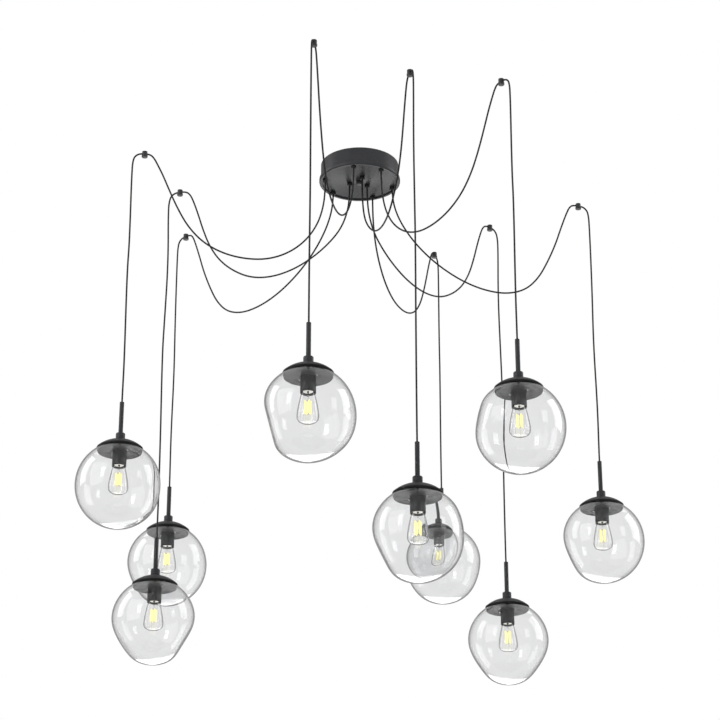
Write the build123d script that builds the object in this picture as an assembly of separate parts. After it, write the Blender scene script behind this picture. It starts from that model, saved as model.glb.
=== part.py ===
from build123d import *
import math
import os

# Cluster pendant: nine blown-glass pendants hang on swagged cords round one ceiling canopy.
# Frame: the origin is the middle of the canopy on the ceiling plane, +Z is up, a viewer stands
# at -Y and has +X to the right. All sizes are in millimetres, all bearings in degrees from +X.

# ---------------------------------------------------------------- driving dimensions
# Canopy
CANOPY_DIAMETER = 240.0
CANOPY_DEPTH = 60.0
CANOPY_WALL = 1.6
BEAD_DIAMETER = 250.0
BEAD_HEIGHT = 16.0
BEAD_ROUNDING = 4.0
PLATE_RECESS = 5.0

# Mounting bar and the threaded parts in the middle of the canopy
CROSSBAR_LENGTH = 115.0
CROSSBAR_WIDTH = 25.0
CROSSBAR_THICKNESS = 3.0
SLOT_SPACING = 88.9
SLOT_WIDTH = 5.0
SLOT_LENGTH = 13.0
NIPPLE_DIAMETER = 9.8
NIPPLE_BORE = 6.4
THREAD_CLEARANCE = 0.1
LOCK_NUT_FLATS = 16.0
LOCK_NUT_HEIGHT = 4.0
CAP_NUT_DIAMETER = 20.6
CAP_NUT_HEIGHT = 11.0
CAP_NUT_ROUNDING = 2.5
GROUND_SCREW_DIAMETER = 4.0
GROUND_SCREW_HEAD = 8.0
GROUND_SCREW_HEAD_HEIGHT = 3.0
GROUND_SCREW_PLACE = 26.0

# Layout of the nine arms: three groups of three round the canopy
GROUP_COUNT = 3
FIRST_GROUP_BEARING = 44.0
ARM_SPREAD = 23.8
HOOK_RADIUS = {"wide": 748.0, "near": 593.0, "middle": 665.0}
DROP = {"wide": 878.0, "near": 1150.0, "middle": 830.0}
DROP_TRIM = {2: -3.0, 5: 6.0}
GRIP_RADIUS = {"wide": 107.0, "near": 32.0, "middle": 107.0}

# Cord grips under the canopy
GRIP_DIAMETER = 15.6
GRIP_HEIGHT = 10.0
GRIP_CHAMFER = 1.2
GRIP_THREAD_DIAMETER = 10.0
GRIP_THREAD_LENGTH = 9.0

# Cord
CORD_DIAMETER = 5.2
CORD_CLEARANCE = 0.4
CORD_TOP = -38.0
CORD_IN_STEM = 15.0
ARC_SHARE = 0.45

# Ceiling hook: a barrel with a cross hole, and a wider cap screwed into it from below
HOOK_DIAMETER = 16.5
HOOK_BARREL_HEIGHT = 11.5
HOOK_ROOF = 3.0
HOOK_CAVITY_DIAMETER = 11.6
HOOK_SCREW_HOLE = 4.5
HOOK_CAP_DIAMETER = 18.5
HOOK_CAP_HEIGHT = 7.0
HOOK_CAP_ROUNDING = 1.2
HOOK_SPIGOT_HEIGHT = 1.5
CORD_HEIGHT_AT_HOOK = -7.0

# Pendant metalwork, heights counted down from the collar's top
STEM_LENGTH = 97.0
STEM_DIAMETER = 13.0
STEM_BORE = 10.0
STEM_IN_COLLAR = 12.8
BUSHING_FLANGE = 2.0
BUSHING_SPIGOT = 8.0
COLLAR_DIAMETER = 27.0
COLLAR_HEIGHT = 21.0
COLLAR_CHAMFER = 1.5
DOME_DIAMETER = 134.0
DOME_RISE = 27.0
DOME_WALL = 1.5
DOME_LIP = 1.5
GASKET_HEIGHT = 4.5
GASKET_WIDTH = 6.0
SEAT_CLEARANCE = 0.3

# Clamp disc inside the glass
DISC_DIAMETER = 129.6
DISC_THICKNESS = 1.6
DISC_SLOT_WIDTH = 4.5
DISC_SLOT_DEPTH = 22.0
DISC_SLOT_BEARING = 90.0
SCREW_CIRCLE_DIAMETER = 56.0
SCREW_BEARING = 143.0
SCREW_COUNT = 2
SCREW_DIAMETER = 3.8
SCREW_HEAD_DIAMETER = 6.8
SCREW_HEAD_HEIGHT = 2.6
BOSS_DIAMETER = 8.0
BOSS_CLEARANCE = 4.0
SCREW_ENGAGEMENT = 7.0

# Socket cup and lampholder
CUP_DIAMETER = 41.5
CUP_HEIGHT = 45.5
CUP_WALL = 1.4
HOLDER_DIAMETER = 33.0
HOLDER_FLOOR = 3.0
HOLDER_DEPTH = 26.0
HOLDER_BORE = 27.2

# Bulb
BASE_DIAMETER = 26.2
BASE_LENGTH = 24.6
THREAD_PITCH = 3.6
THREAD_DEPTH = 0.7
THREAD_TURNS = 4
BULB_DIAMETER = 58.0
BULB_GLASS_LENGTH = 94.5
BULB_WALL = 0.8
BULB_NECK_DIAMETER = 26.0
FILAMENT_COUNT = 4
FILAMENT_LENGTH = 38.0
FILAMENT_DIAMETER = 1.8
FILAMENT_CIRCLE_DIAMETER = 15.0
FILAMENT_START = 32.0
MOUNT_FOOT_DIAMETER = 18.0
MOUNT_STEM_DIAMETER = 7.0
MOUNT_STEM_LENGTH = 22.0
WIRE_DIAMETER = 1.0

# Blown glass globe: an upright ellipsoid with soft dents
GLOBE_DIAMETER = 248.0
GLOBE_HEIGHT = 254.0
GLOBE_WALL = 2.5
GLOBE_MOUTH_DIAMETER = 116.0
GLOBE_FOOT_ANGLE = -82.0
DENT_FADE_START = 46.0
DENT_FADE_END = 24.0
SECTION_POINTS = 16
SECTION_ANGLES = (56.0, 47.0, 37.0, 26.0, 14.0, 2.0, -10.0, -22.0, -34.0, -46.0, -58.0, -70.0)
# Each dent: bearing, elevation, depth and angular spread.
GLOBE_DENTS = {
    1: ((172.0, -27.0, 16.0, 30.0), (60.0, -10.0, 6.0, 28.0)),
    2: ((168.0, -40.0, 17.0, 32.0), (12.0, -40.0, 15.0, 30.0)),
    3: ((350.0, -22.0, 9.0, 28.0), (190.0, -35.0, 12.0, 30.0)),
    4: ((166.0, -32.0, 11.0, 30.0), (300.0, 5.0, 6.0, 26.0)),
    5: ((165.0, -36.0, 19.0, 28.0), (14.0, -34.0, 22.0, 30.0)),
    6: ((352.0, -6.0, 7.0, 20.0), (300.0, -28.0, 7.0, 24.0)),
    7: ((177.0, -17.0, 25.0, 29.0), (20.0, -30.0, -4.0, 34.0)),
    8: ((172.0, -30.0, 20.0, 30.0), (5.0, 8.0, 6.0, 30.0)),
    9: ((185.0, 12.0, 8.0, 26.0), (236.0, -30.0, 9.0, 19.0)),
}

# Swag routes, one for each kind of arm, as (distance from the canopy's axis, height)
SWAG_ROUTE = {
    "wide": (
        (107, -92), (124, -153), (161, -212), (212, -265), (274, -309), (343, -342),
        (416, -360), (488, -360), (552, -336), (598, -288), (632, -226), (662, -159),
        (684, -96), (704, -44), (716, -18), (729, -7),
    ),
    "near": (
        (32, -92), (38, -152), (60, -210), (102, -258), (155, -299), (216, -330),
        (284, -345), (350, -338), (408, -307), (455, -264), (489, -209), (512, -149),
        (530, -92), (545, -50), (557, -22), (573, -7),
    ),
    "middle": (
        (107, -92), (113, -153), (131, -214), (166, -270), (218, -315), (283, -341),
        (353, -343), (420, -328), (480, -295), (526, -245), (559, -186), (586, -126),
        (607, -76), (624, -42), (635, -21), (648, -7),
    ),
}
# Bend of the cord outside the hook, as (distance from the hook's axis, height)
DROP_BEND = ((14.5, -7.0), (28.0, -15.5), (34.0, -28.0))

# ---------------------------------------------------------------- derived sizes
PLATE_UNDERSIDE = PLATE_RECESS - CANOPY_DEPTH
PLATE_TOP = PLATE_UNDERSIDE + CANOPY_WALL
DROP_OFFSET = DROP_BEND[-1][0]
DOME_RIM = -COLLAR_HEIGHT - DOME_RISE
GASKET_FOOT = DOME_RIM - GASKET_HEIGHT
DOME_SPHERE = ((DOME_DIAMETER / 2) ** 2 + (DOME_RISE - DOME_LIP) ** 2) / (2 * (DOME_RISE - DOME_LIP))
NIPPLE_HOLE = NIPPLE_DIAMETER + 2 * THREAD_CLEARANCE
ARM_KINDS = (("wide", -ARM_SPREAD), ("near", 0.0), ("middle", ARM_SPREAD))


def ellipsoid_rise(diameter, height, radius):
    """Height over the middle of an upright ellipsoid at a distance from its axis."""
    return height / 2 * math.sqrt(1 - (2 * radius / diameter) ** 2)


GASKET_OUTER_RADIUS = DOME_DIAMETER / 2 - 0.5
GLOBE_MIDDLE = (
    GASKET_FOOT - SEAT_CLEARANCE - ellipsoid_rise(GLOBE_DIAMETER, GLOBE_HEIGHT, GASKET_OUTER_RADIUS)
)
DISC_TOP = (
    GLOBE_MIDDLE
    + ellipsoid_rise(
        GLOBE_DIAMETER - 2 * GLOBE_WALL, GLOBE_HEIGHT - 2 * GLOBE_WALL, DISC_DIAMETER / 2
    )
    - SEAT_CLEARANCE
)
DISC_UNDERSIDE = DISC_TOP - DISC_THICKNESS
CUP_TOP = DISC_UNDERSIDE - THREAD_CLEARANCE
CUP_MOUTH = CUP_TOP - CUP_HEIGHT
HOLDER_NUT_TOP = CUP_TOP - CUP_WALL - THREAD_CLEARANCE
HOLDER_TOP = HOLDER_NUT_TOP - LOCK_NUT_HEIGHT - SEAT_CLEARANCE
BASE_TIP = HOLDER_TOP - HOLDER_FLOOR - SEAT_CLEARANCE
BASE_FOOT = BASE_TIP - BASE_LENGTH
BULB_TIP = BASE_FOOT - BULB_GLASS_LENGTH


# ---------------------------------------------------------------- shaping helpers
def turned(points, radii=None):
    """A solid turned about the Z axis from its half outline, points as (radius, height)."""
    corners = [(radius, 0, height) for radius, height in points]
    if radii is None:
        outline = Polyline(*corners, close=True)
    else:
        outline = FilletPolyline(*corners, radius=radii, close=True)
    return revolve(make_face(outline), Axis.Z, 360)


def ring(outer_diameter, inner_diameter, low, high):
    """A plain tube or washer on the Z axis."""
    inner = inner_diameter / 2
    outer = outer_diameter / 2
    return turned([(inner, low), (outer, low), (outer, high), (inner, high)])


def rod(diameter, low, high):
    """A plain round bar on the Z axis."""
    return Pos(0, 0, low) * Cylinder(
        diameter / 2, high - low, align=(Align.CENTER, Align.CENTER, Align.MIN)
    )


def hex_nut(flats, bore_diameter, low, height):
    """A hexagon nut on the Z axis with a plain bore."""
    blank = extrude(RegularPolygon(flats / 2, 6, major_radius=False), height)
    return Pos(0, 0, low) * blank - rod(bore_diameter, low - 1, low + height + 1)


def around(shape, count, circle_diameter, first_bearing=0.0):
    """Copies of a shape spaced evenly on a circle about the Z axis."""
    step = 360 / count
    return [
        Rot(0, 0, first_bearing + index * step) * Pos(circle_diameter / 2, 0, 0) * shape
        for index in range(count)
    ]


def write(node, solids):
    """Writes the separate solids of one node to its file."""
    parts = [solid for shape in solids for solid in shape.solids()]
    export_step(parts[0] if len(parts) == 1 else Compound(children=parts), f"parts/{node}.step")


# ---------------------------------------------------------------- arms
def arms():
    """Number, kind and bearing of each of the nine arms, in order round the canopy."""
    found = []
    for group in range(GROUP_COUNT):
        middle = FIRST_GROUP_BEARING + group * 360 / GROUP_COUNT
        for kind, offset in ARM_KINDS:
            found.append((len(found) + 1, kind, middle + offset))
    return found


def drop_of(number, kind):
    """Distance from the ceiling to the top of an arm's stem."""
    return DROP[kind] + DROP_TRIM.get(number, 0.0)


# ---------------------------------------------------------------- canopy
def canopy_pan():
    """Drum with a rolled bead at its foot and a plate set up inside the bead."""
    wall = CANOPY_DIAMETER / 2
    inside = wall - CANOPY_WALL
    bead = BEAD_DIAMETER / 2
    swell = bead - wall
    centre_hole = NIPPLE_HOLE / 2
    outline = [
        (wall, 0),
        (wall, BEAD_HEIGHT - CANOPY_DEPTH),
        (bead, BEAD_HEIGHT - swell - CANOPY_DEPTH),
        (bead, -CANOPY_DEPTH),
        (inside - CANOPY_WALL, -CANOPY_DEPTH),
        (inside - CANOPY_WALL, PLATE_UNDERSIDE),
        (centre_hole, PLATE_UNDERSIDE),
        (centre_hole, PLATE_TOP),
        (inside, PLATE_TOP),
        (inside, 0),
    ]
    radii = [0, swell / 2, swell / 2, BEAD_ROUNDING, CANOPY_WALL, 0, 0, 0, 0, 0]
    pan = turned(outline, radii)
    hole = rod(GRIP_THREAD_DIAMETER + 2 * THREAD_CLEARANCE, -CANOPY_DEPTH, 0)
    for _, kind, bearing in arms():
        pan -= Rot(0, 0, bearing) * Pos(GRIP_RADIUS[kind], 0, 0) * hole
    return pan


def crossbar():
    """Flat bar along X with a nipple hole, two slots for the ceiling box and a ground screw hole."""
    bar = Pos(0, 0, -CROSSBAR_THICKNESS / 2) * Box(
        CROSSBAR_LENGTH, CROSSBAR_WIDTH, CROSSBAR_THICKNESS
    )
    bar = fillet(bar.edges().filter_by(Axis.Z), CROSSBAR_WIDTH / 4)
    bar -= rod(NIPPLE_HOLE, -2 * CROSSBAR_THICKNESS, CROSSBAR_THICKNESS)
    slot = Pos(0, 0, -CROSSBAR_THICKNESS) * extrude(
        SlotOverall(SLOT_LENGTH, SLOT_WIDTH), CROSSBAR_THICKNESS
    )
    for side in (-1, 1):
        bar -= Pos(side * SLOT_SPACING / 2, 0, 0) * slot
    screw_hole = rod(
        GROUND_SCREW_DIAMETER + 2 * THREAD_CLEARANCE, -2 * CROSSBAR_THICKNESS, CROSSBAR_THICKNESS
    )
    bar -= Pos(-GROUND_SCREW_PLACE, 0, 0) * screw_hole
    return bar


def canopy_fixings():
    """Hollow nipple, its lock nut, the cap nut under the plate and the ground screw."""
    nut_top = -CROSSBAR_THICKNESS - THREAD_CLEARANCE
    cap_top = PLATE_UNDERSIDE - THREAD_CLEARANCE
    cap_foot = cap_top - CAP_NUT_HEIGHT
    nipple_foot = cap_foot + CAP_NUT_ROUNDING + 1
    nipple = ring(NIPPLE_DIAMETER, NIPPLE_BORE, nipple_foot, -THREAD_CLEARANCE)
    lock_nut = hex_nut(LOCK_NUT_FLATS, NIPPLE_HOLE, nut_top - LOCK_NUT_HEIGHT, LOCK_NUT_HEIGHT)
    cap_radius = CAP_NUT_DIAMETER / 2
    thread_radius = NIPPLE_HOLE / 2
    thread_end = nipple_foot - THREAD_CLEARANCE
    cap_nut = turned(
        [
            (0, cap_foot),
            (cap_radius, cap_foot),
            (cap_radius, cap_top),
            (thread_radius, cap_top),
            (thread_radius, thread_end),
            (0, thread_end),
        ],
        [0, CAP_NUT_ROUNDING, 0, 0, 0, 0],
    )
    head = rod(GROUND_SCREW_HEAD, nut_top - GROUND_SCREW_HEAD_HEIGHT, nut_top)
    shank = rod(GROUND_SCREW_DIAMETER, nut_top, -THREAD_CLEARANCE)
    ground_screw = Pos(-GROUND_SCREW_PLACE, 0, 0) * (head + shank)
    return [nipple, lock_nut, cap_nut, ground_screw]


def cord_grip():
    """Grip body under the canopy plate with its threaded neck, and the lock nut above."""
    bore = CORD_DIAMETER / 2 + CORD_CLEARANCE
    body_top = PLATE_UNDERSIDE - THREAD_CLEARANCE
    body_foot = body_top - GRIP_HEIGHT
    neck_top = PLATE_TOP + GRIP_THREAD_LENGTH
    neck = GRIP_THREAD_DIAMETER / 2
    body = GRIP_DIAMETER / 2
    grip = turned(
        [
            (bore, body_foot),
            (body - GRIP_CHAMFER, body_foot),
            (body, body_foot + GRIP_CHAMFER),
            (body, body_top),
            (neck, body_top),
            (neck, neck_top),
            (bore, neck_top),
        ]
    )
    nut_bore = GRIP_THREAD_DIAMETER + 2 * THREAD_CLEARANCE
    nut = hex_nut(LOCK_NUT_FLATS, nut_bore, PLATE_TOP + THREAD_CLEARANCE, LOCK_NUT_HEIGHT)
    return [grip, nut]


# ---------------------------------------------------------------- ceiling hooks
def hook_base():
    """Barrel with a screw hole in its roof and a cross hole for the cord along the arm."""
    barrel = ring(HOOK_DIAMETER, HOOK_SCREW_HOLE, -HOOK_BARREL_HEIGHT, 0)
    barrel -= rod(HOOK_CAVITY_DIAMETER, -HOOK_BARREL_HEIGHT - 1, -HOOK_ROOF)
    cord_hole = Cylinder(CORD_DIAMETER / 2 + CORD_CLEARANCE, 2 * HOOK_DIAMETER)
    return barrel - Pos(0, 0, CORD_HEIGHT_AT_HOOK) * Rot(0, 90, 0) * cord_hole


def hook_cap():
    """Cap with a short spigot that closes the barrel just under the cord."""
    top = -HOOK_BARREL_HEIGHT - THREAD_CLEARANCE
    foot = top - HOOK_CAP_HEIGHT
    spigot = HOOK_CAVITY_DIAMETER / 2 - THREAD_CLEARANCE
    radius = HOOK_CAP_DIAMETER / 2
    return turned(
        [
            (0, foot),
            (radius, foot),
            (radius, top),
            (spigot, top),
            (spigot, top + HOOK_SPIGOT_HEIGHT),
            (0, top + HOOK_SPIGOT_HEIGHT),
        ],
        [0, HOOK_CAP_ROUNDING, HOOK_CAP_ROUNDING / 2, 0, 0, 0],
    )


# ---------------------------------------------------------------- cords
def turn_angle(before, corner, after):
    """Angle in degrees by which a route turns at one of its points."""
    return (Vector(*corner) - Vector(*before)).get_angle(Vector(*after) - Vector(*corner))


def cord_tube(label, route):
    """A round tube along straight runs joined by tangent arcs, in the X-Z plane."""
    points = [(distance, 0, height) for distance, height in route]
    radii = []
    for before, corner, after in zip(points, points[1:], points[2:]):
        shorter = min(math.dist(before, corner), math.dist(corner, after))
        half_turn = math.radians(turn_angle(before, corner, after) / 2)
        radii.append(ARC_SHARE * shorter / math.tan(half_turn))
    path = FilletPolyline(*points, radius=radii)
    start = Plane(origin=path @ 0, z_dir=path % 0)
    tube = sweep(start * Circle(CORD_DIAMETER / 2), path=path)
    expected = math.pi * CORD_DIAMETER**2 / 4 * path.length
    print(
        label, "length", round(path.length), "volume share", round(tube.volume / expected, 4),
        "radii", [round(radius) for radius in radii],
    )
    return tube


def swag_route(kind):
    """Route from inside the canopy, down through the grip and up to the hook's axis."""
    start = (GRIP_RADIUS[kind], CORD_TOP)
    end = (HOOK_RADIUS[kind], CORD_HEIGHT_AT_HOOK)
    return [start, *SWAG_ROUTE[kind], end]


def drop_route(number, kind):
    """Route from the hook's axis, over the bend and straight down into the stem."""
    hook = HOOK_RADIUS[kind]
    bend = [(hook + distance, height) for distance, height in DROP_BEND]
    end = (hook + DROP_OFFSET, -drop_of(number, kind) - CORD_IN_STEM)
    return [(hook, CORD_HEIGHT_AT_HOOK), *bend, end]


# ---------------------------------------------------------------- pendant metalwork
def stem():
    """Straight tube that stands in the collar."""
    return ring(STEM_DIAMETER, STEM_BORE, -STEM_IN_COLLAR, STEM_LENGTH - BUSHING_FLANGE)


def stem_bushing():
    """Flanged bushing at the stem's top, bored for the cord."""
    bore = CORD_DIAMETER / 2 + CORD_CLEARANCE
    flange = STEM_DIAMETER / 2
    spigot = STEM_BORE / 2 - THREAD_CLEARANCE
    seat = STEM_LENGTH - BUSHING_FLANGE + THREAD_CLEARANCE
    return turned(
        [
            (bore, seat - BUSHING_SPIGOT),
            (spigot, seat - BUSHING_SPIGOT),
            (spigot, seat),
            (flange, seat),
            (flange, STEM_LENGTH),
            (bore, STEM_LENGTH),
        ]
    )


def collar():
    """Collar with a counterbore for the stem and a threaded bore for the nipple."""
    stem_seat = STEM_DIAMETER / 2 + THREAD_CLEARANCE
    radius = COLLAR_DIAMETER / 2
    floor = -STEM_IN_COLLAR - THREAD_CLEARANCE
    bore = NIPPLE_HOLE / 2
    return turned(
        [
            (bore, -COLLAR_HEIGHT),
            (radius, -COLLAR_HEIGHT),
            (radius, -COLLAR_CHAMFER),
            (radius - COLLAR_CHAMFER, 0),
            (stem_seat, 0),
            (stem_seat, floor),
            (bore, floor),
        ]
    )


def dome_height(sphere, radius):
    """Height of the dome's sphere at a distance from the axis, from the sphere's middle."""
    return math.sqrt(sphere**2 - radius**2)


def dome_cap():
    """Shallow domed shell with a straight lip and a boss for each clamp screw."""
    rim = DOME_DIAMETER / 2
    hole = NIPPLE_HOLE / 2
    outer = DOME_SPHERE
    inner = DOME_SPHERE - DOME_WALL
    middle = -COLLAR_HEIGHT - THREAD_CLEARANCE - dome_height(outer, hole)
    lip_inside = rim - DOME_WALL
    lip_top = middle + dome_height(outer, rim)
    outside = ThreePointArc(
        (hole, 0, middle + dome_height(outer, hole)),
        (rim / 2, 0, middle + dome_height(outer, rim / 2)),
        (rim, 0, lip_top),
    )
    inside = ThreePointArc(
        (lip_inside, 0, middle + dome_height(inner, lip_inside)),
        (rim / 2, 0, middle + dome_height(inner, rim / 2)),
        (hole, 0, middle + dome_height(inner, hole)),
    )
    lip = Polyline((rim, 0, lip_top), (rim, 0, DOME_RIM), (lip_inside, 0, DOME_RIM), inside @ 0)
    close = Line(inside @ 1, outside @ 0)
    shell = revolve(make_face(Curve() + [outside, lip, inside, close]), Axis.Z, 360)
    boss_foot = DISC_TOP + BOSS_CLEARANCE
    boss_top = middle + dome_height(inner, SCREW_CIRCLE_DIAMETER / 2 + BOSS_DIAMETER / 2) + DOME_WALL / 2
    boss = rod(BOSS_DIAMETER, boss_foot, boss_top)
    tapped = rod(
        SCREW_DIAMETER + 2 * THREAD_CLEARANCE, boss_foot - 1, boss_foot + SCREW_ENGAGEMENT + 1
    )
    for copy in around(boss, SCREW_COUNT, SCREW_CIRCLE_DIAMETER, SCREW_BEARING):
        shell += copy
    for copy in around(tapped, SCREW_COUNT, SCREW_CIRCLE_DIAMETER, SCREW_BEARING):
        shell -= copy
    return shell


def gasket():
    """Rubber ring between the dome's rim and the glass."""
    outer = GASKET_OUTER_RADIUS
    inner = outer - GASKET_WIDTH
    top = DOME_RIM - THREAD_CLEARANCE
    inner_foot = (
        GLOBE_MIDDLE + ellipsoid_rise(GLOBE_DIAMETER, GLOBE_HEIGHT, inner) + 1.5 * SEAT_CLEARANCE
    )
    return turned([(inner, inner_foot), (outer, GASKET_FOOT), (outer, top), (inner, top)])


def pendant_nipple():
    """Threaded tube that joins collar, dome cap, clamp disc, cup and lampholder."""
    top = -STEM_IN_COLLAR - 5 * THREAD_CLEARANCE
    foot = HOLDER_NUT_TOP - LOCK_NUT_HEIGHT
    return ring(NIPPLE_DIAMETER, NIPPLE_BORE, foot, top)


# ---------------------------------------------------------------- glass globe
def dent_depth(dents, bearing, elevation):
    """Depth of all dents together in one direction from the globe's middle."""
    share = (DENT_FADE_START - elevation) / (DENT_FADE_START - DENT_FADE_END)
    share = min(1.0, max(0.0, share))
    total = 0.0
    for dent_bearing, dent_elevation, depth, spread in dents:
        across = math.cos(math.radians(elevation)) * math.cos(math.radians(dent_elevation))
        cosine = across * math.cos(math.radians(bearing - dent_bearing))
        cosine += math.sin(math.radians(elevation)) * math.sin(math.radians(dent_elevation))
        angle = math.degrees(math.acos(max(-1.0, min(1.0, cosine))))
        total += depth * math.exp(-((angle / spread) ** 2))
    return total * share * share * (3 - 2 * share)


def globe_section(dents, diameter, height, elevation):
    """Horizontal slice of the dented ellipsoid as a face."""
    plain = diameter / 2 * math.cos(math.radians(elevation))
    level = height / 2 * math.sin(math.radians(elevation))
    points = []
    for index in range(SECTION_POINTS):
        bearing = index * 360 / SECTION_POINTS
        radius = plain * (1 - 2 * dent_depth(dents, bearing, elevation) / GLOBE_DIAMETER)
        angle = math.radians(bearing)
        points.append((radius * math.cos(angle), radius * math.sin(angle), level))
    return make_face(Spline(*points, periodic=True))


def globe_body(dents, diameter, height, mouth_level):
    """Solid dented ellipsoid from a flat top at the mouth's level to a small flat foot."""
    mouth_angle = math.degrees(math.asin(2 * mouth_level / height))
    angles = (mouth_angle, *SECTION_ANGLES, GLOBE_FOOT_ANGLE)
    return loft([globe_section(dents, diameter, height, angle) for angle in angles])


def glass_globe(dents):
    """Dented shell, open at its mouth."""
    mouth_level = ellipsoid_rise(GLOBE_DIAMETER, GLOBE_HEIGHT, GLOBE_MOUTH_DIAMETER / 2)
    outside = globe_body(dents, GLOBE_DIAMETER, GLOBE_HEIGHT, mouth_level)
    inner_diameter = GLOBE_DIAMETER - 2 * GLOBE_WALL
    inner_height = GLOBE_HEIGHT - 2 * GLOBE_WALL
    inside = globe_body(dents, inner_diameter, inner_height, mouth_level + 1)
    return Pos(0, 0, GLOBE_MIDDLE) * (outside - inside)


# ---------------------------------------------------------------- clamp disc and lampholder
def clamp_disc():
    """Flat disc with a nipple hole, screw holes and the slot that lets it wind into the mouth."""
    disc = ring(DISC_DIAMETER, NIPPLE_HOLE, DISC_UNDERSIDE, DISC_TOP)
    hole = rod(SCREW_DIAMETER + 4 * THREAD_CLEARANCE, DISC_UNDERSIDE - 1, DISC_TOP + 1)
    for copy in around(hole, SCREW_COUNT, SCREW_CIRCLE_DIAMETER, SCREW_BEARING):
        disc -= copy
    slot_middle = DISC_DIAMETER / 2 - DISC_SLOT_DEPTH / 2 + 1
    slot = Pos(slot_middle, 0, DISC_TOP) * Box(
        DISC_SLOT_DEPTH + 2, DISC_SLOT_WIDTH, 4 * DISC_THICKNESS
    )
    return disc - Rot(0, 0, DISC_SLOT_BEARING) * slot


def clamp_screw():
    """Round-headed screw, up through the disc into the dome's boss."""
    seat = DISC_UNDERSIDE - THREAD_CLEARANCE
    head = SCREW_HEAD_DIAMETER / 2
    shank = SCREW_DIAMETER / 2
    top = DISC_TOP + BOSS_CLEARANCE + SCREW_ENGAGEMENT
    foot = seat - SCREW_HEAD_HEIGHT
    return turned(
        [(0, foot), (head, foot), (head, seat), (shank, seat), (shank, top), (0, top)],
        [0, SCREW_HEAD_HEIGHT * 0.7, 0, 0, 0, 0],
    )


def socket_cup():
    """Cylindrical cup, open downwards, that hides the lampholder."""
    outer = CUP_DIAMETER / 2
    inner = outer - CUP_WALL
    hole = NIPPLE_HOLE / 2
    return turned(
        [
            (hole, CUP_TOP),
            (outer, CUP_TOP),
            (outer, CUP_MOUTH),
            (inner, CUP_MOUTH),
            (inner, CUP_TOP - CUP_WALL),
            (hole, CUP_TOP - CUP_WALL),
        ]
    )


def lamp_socket():
    """Lampholder body, a cup for the bulb's base."""
    outer = HOLDER_DIAMETER / 2
    bore = HOLDER_BORE / 2
    floor = HOLDER_TOP - HOLDER_FLOOR
    foot = floor - HOLDER_DEPTH
    return turned(
        [(0, HOLDER_TOP), (outer, HOLDER_TOP), (outer, foot), (bore, foot), (bore, floor), (0, floor)]
    )


# ---------------------------------------------------------------- bulb
def bulb_base():
    """Screw base: contact tip, insulator and shell with rounded threads."""
    radius = BASE_DIAMETER / 2
    shell_top = BASE_TIP - BASE_LENGTH / 5
    points = [
        (0, BASE_TIP),
        (radius * 0.35, BASE_TIP),
        (radius * 0.8, shell_top),
        (radius - THREAD_DEPTH, shell_top),
    ]
    for turn in range(THREAD_TURNS):
        level = shell_top - (turn + 0.5) * THREAD_PITCH
        points.append((radius - THREAD_DEPTH, level + THREAD_PITCH / 3))
        points.append((radius, level + THREAD_PITCH / 8))
        points.append((radius, level - THREAD_PITCH / 8))
        points.append((radius - THREAD_DEPTH, level - THREAD_PITCH / 3))
    points.append((radius, BASE_FOOT + THREAD_PITCH / 2))
    points.append((radius, BASE_FOOT))
    points.append((0, BASE_FOOT))
    return turned(points)


def bulb_envelope():
    """Pear-shaped glass shell, open at the neck where it meets the base."""
    outlines = []
    top = BASE_FOOT - THREAD_CLEARANCE / 2
    for wall in (0.0, BULB_WALL):
        neck = BULB_NECK_DIAMETER / 2 - wall
        belly = BULB_DIAMETER / 2 - wall
        tip = BULB_TIP + wall
        belly_level = BULB_TIP + BULB_GLASS_LENGTH * 0.19
        side = Spline(
            (neck, 0, top),
            (neck + (belly - neck) * 0.43, 0, top - BULB_GLASS_LENGTH * 0.22),
            (neck + (belly - neck) * 0.84, 0, top - BULB_GLASS_LENGTH * 0.56),
            (belly, 0, belly_level),
            tangents=[(0.08, 0, -1), (0, 0, -1)],
        )
        depth = belly_level - tip
        end = Spline(
            (belly, 0, belly_level),
            (belly * math.cos(math.radians(45)), 0, belly_level - depth * math.sin(math.radians(45))),
            (0, 0, tip),
            tangents=[(0, 0, -1), (-1, 0, 0)],
        )
        outlines.append((side, end))
    (outer_side, outer_end), (inner_side, inner_end) = outlines
    rim = Line(inner_side @ 0, outer_side @ 0)
    axis = Line(outer_end @ 1, inner_end @ 1)
    face = make_face(Curve() + [rim, outer_side, outer_end, axis, inner_end, inner_side])
    return revolve(face, Axis.Z, 360)


def bulb_mount():
    """Flared glass foot, thin stem, centre wire and the two crosses that hold the filaments."""
    top = BASE_FOOT - THREAD_CLEARANCE / 2
    stem_foot = top - MOUNT_STEM_LENGTH
    high_cross = BASE_FOOT - FILAMENT_START
    low_cross = high_cross - FILAMENT_LENGTH
    foot = MOUNT_FOOT_DIAMETER / 2
    stalk = MOUNT_STEM_DIAMETER / 2
    mount = turned(
        [(0, top), (foot, top), (foot * 0.7, top - MOUNT_STEM_LENGTH / 4), (stalk, stem_foot), (0, stem_foot)]
    )
    mount += rod(WIRE_DIAMETER, low_cross - WIRE_DIAMETER, stem_foot + WIRE_DIAMETER)
    reach = FILAMENT_CIRCLE_DIAMETER / 2 + WIRE_DIAMETER / 2
    spoke = Rot(0, 90, 0) * rod(WIRE_DIAMETER, 0, reach)
    for level in (high_cross + WIRE_DIAMETER / 2, low_cross - WIRE_DIAMETER / 2):
        for index in range(FILAMENT_COUNT):
            mount += Pos(0, 0, level) * Rot(0, 0, index * 360 / FILAMENT_COUNT + 45) * spoke
    return mount


def filaments():
    """Upright filament rods between the mount's two crosses."""
    top = BASE_FOOT - FILAMENT_START - THREAD_CLEARANCE
    foot = BASE_FOOT - FILAMENT_START - FILAMENT_LENGTH + THREAD_CLEARANCE
    return around(rod(FILAMENT_DIAMETER, foot, top), FILAMENT_COUNT, FILAMENT_CIRCLE_DIAMETER, 45)


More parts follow.
